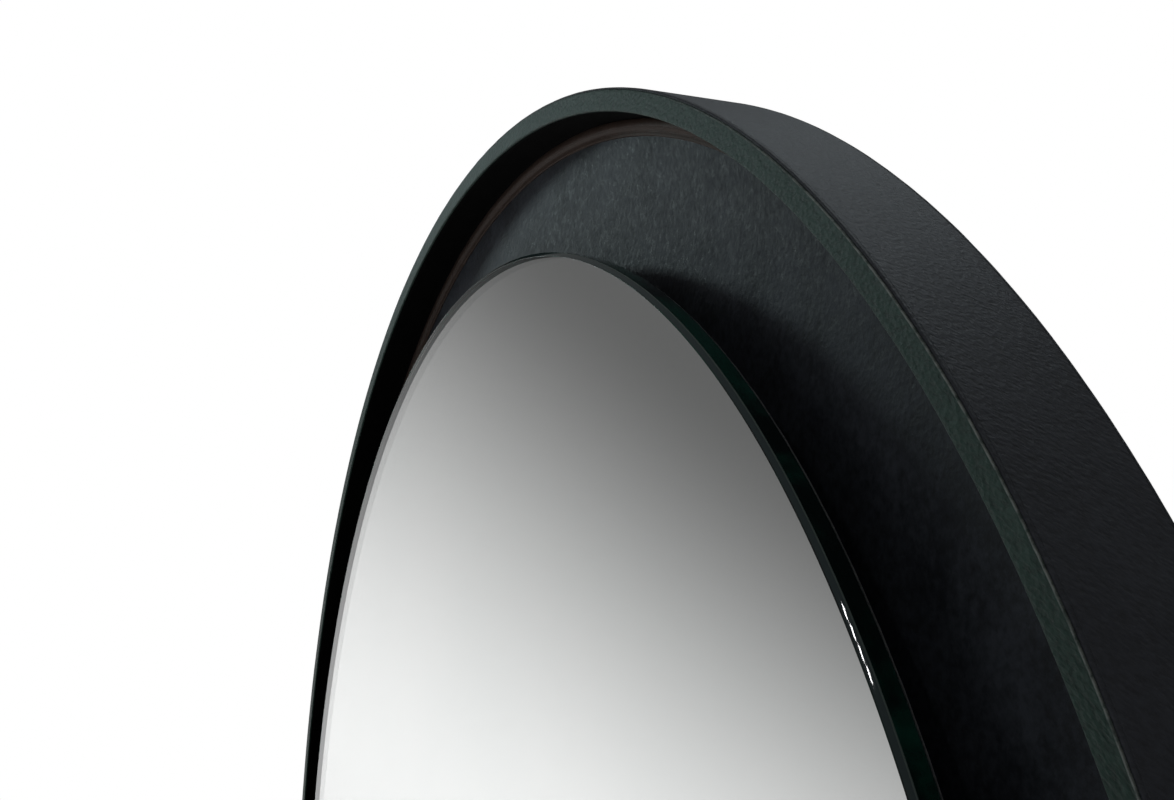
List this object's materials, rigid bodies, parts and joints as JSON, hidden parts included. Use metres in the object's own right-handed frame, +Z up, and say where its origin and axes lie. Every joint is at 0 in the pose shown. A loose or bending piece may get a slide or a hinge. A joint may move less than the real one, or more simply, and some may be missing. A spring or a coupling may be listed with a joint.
{
  "type": "framed round wall mirror",
  "caption": "Round wall mirror: glass disc raised off a recessed panel inside a deep leatherette-covered hoop, with hanger rings on the back.",
  "frame": {"origin": "on the wall plane that the bumpers rest on, on the mirror's axis", "axes": "+Y along the mirror's axis into the wall, so the glass faces -Y; +Z up; +X to the right of someone who faces the mirror"},
  "size_m": [0.5999, 0.0327, 0.6],
  "materials": {
    "plywood": "bent birch plywood",
    "leatherette_wall": "fine wrinkled grain, semi-matt charcoal",
    "leatherette_rim": "fine grain, semi-matt green-grey",
    "leatherette_panel": "fine mottled grain, matt blue-grey",
    "bead": "matt dark brown",
    "board": "raw fibreboard",
    "screw_steel": "zinc plated",
    "hanger_steel": "nickel plated",
    "foam_tape": "closed-cell foam",
    "adhesive": "cured mirror adhesive",
    "film": "safety film",
    "silver": "silver under protective paint",
    "glass": "clear float glass, polished edge",
    "dust_cloth": "black non-woven cloth",
    "rubber": "matt black rubber"
  },
  "bodies": {
    "mirror": {"frame_hoop": "plywood", "outer_wrap": "leatherette_wall", "rim_trim": "leatherette_rim", "inner_wrap": "leatherette_wall", "inner_bead": "bead", "back_panel": "board", "panel_cover": "leatherette_panel", "spacer_board": "board", "spacer_screws": "screw_steel", "hoop_pins": "screw_steel", "foam_tape": "foam_tape", "adhesive_dabs": "adhesive", "safety_film": "film", "silver_backing": "silver", "mirror_glass": "glass", "dust_cloth": "dust_cloth", "cloth_staples": "screw_steel", "left_hanger_strap": "hanger_steel", "right_hanger_strap": "hanger_steel", "hanger_screws": "screw_steel", "wall_bumpers": "rubber"},
    "left_ring": {"left_hanger_ring": "hanger_steel"},
    "right_ring": {"right_hanger_ring": "hanger_steel"}
  },
  "joints": [
    {"name": "left_ring_swing", "type": "hinge", "parent": "mirror", "child": "left_ring", "pos_m": [-0.15, -0.0033, 0.15], "axis": [1, 0, 0], "range_deg": [0, 176]},
    {"name": "right_ring_swing", "type": "hinge", "parent": "mirror", "child": "right_ring", "pos_m": [0.15, -0.0033, 0.15], "axis": [1, 0, 0], "range_deg": [0, 176]}
  ]
}
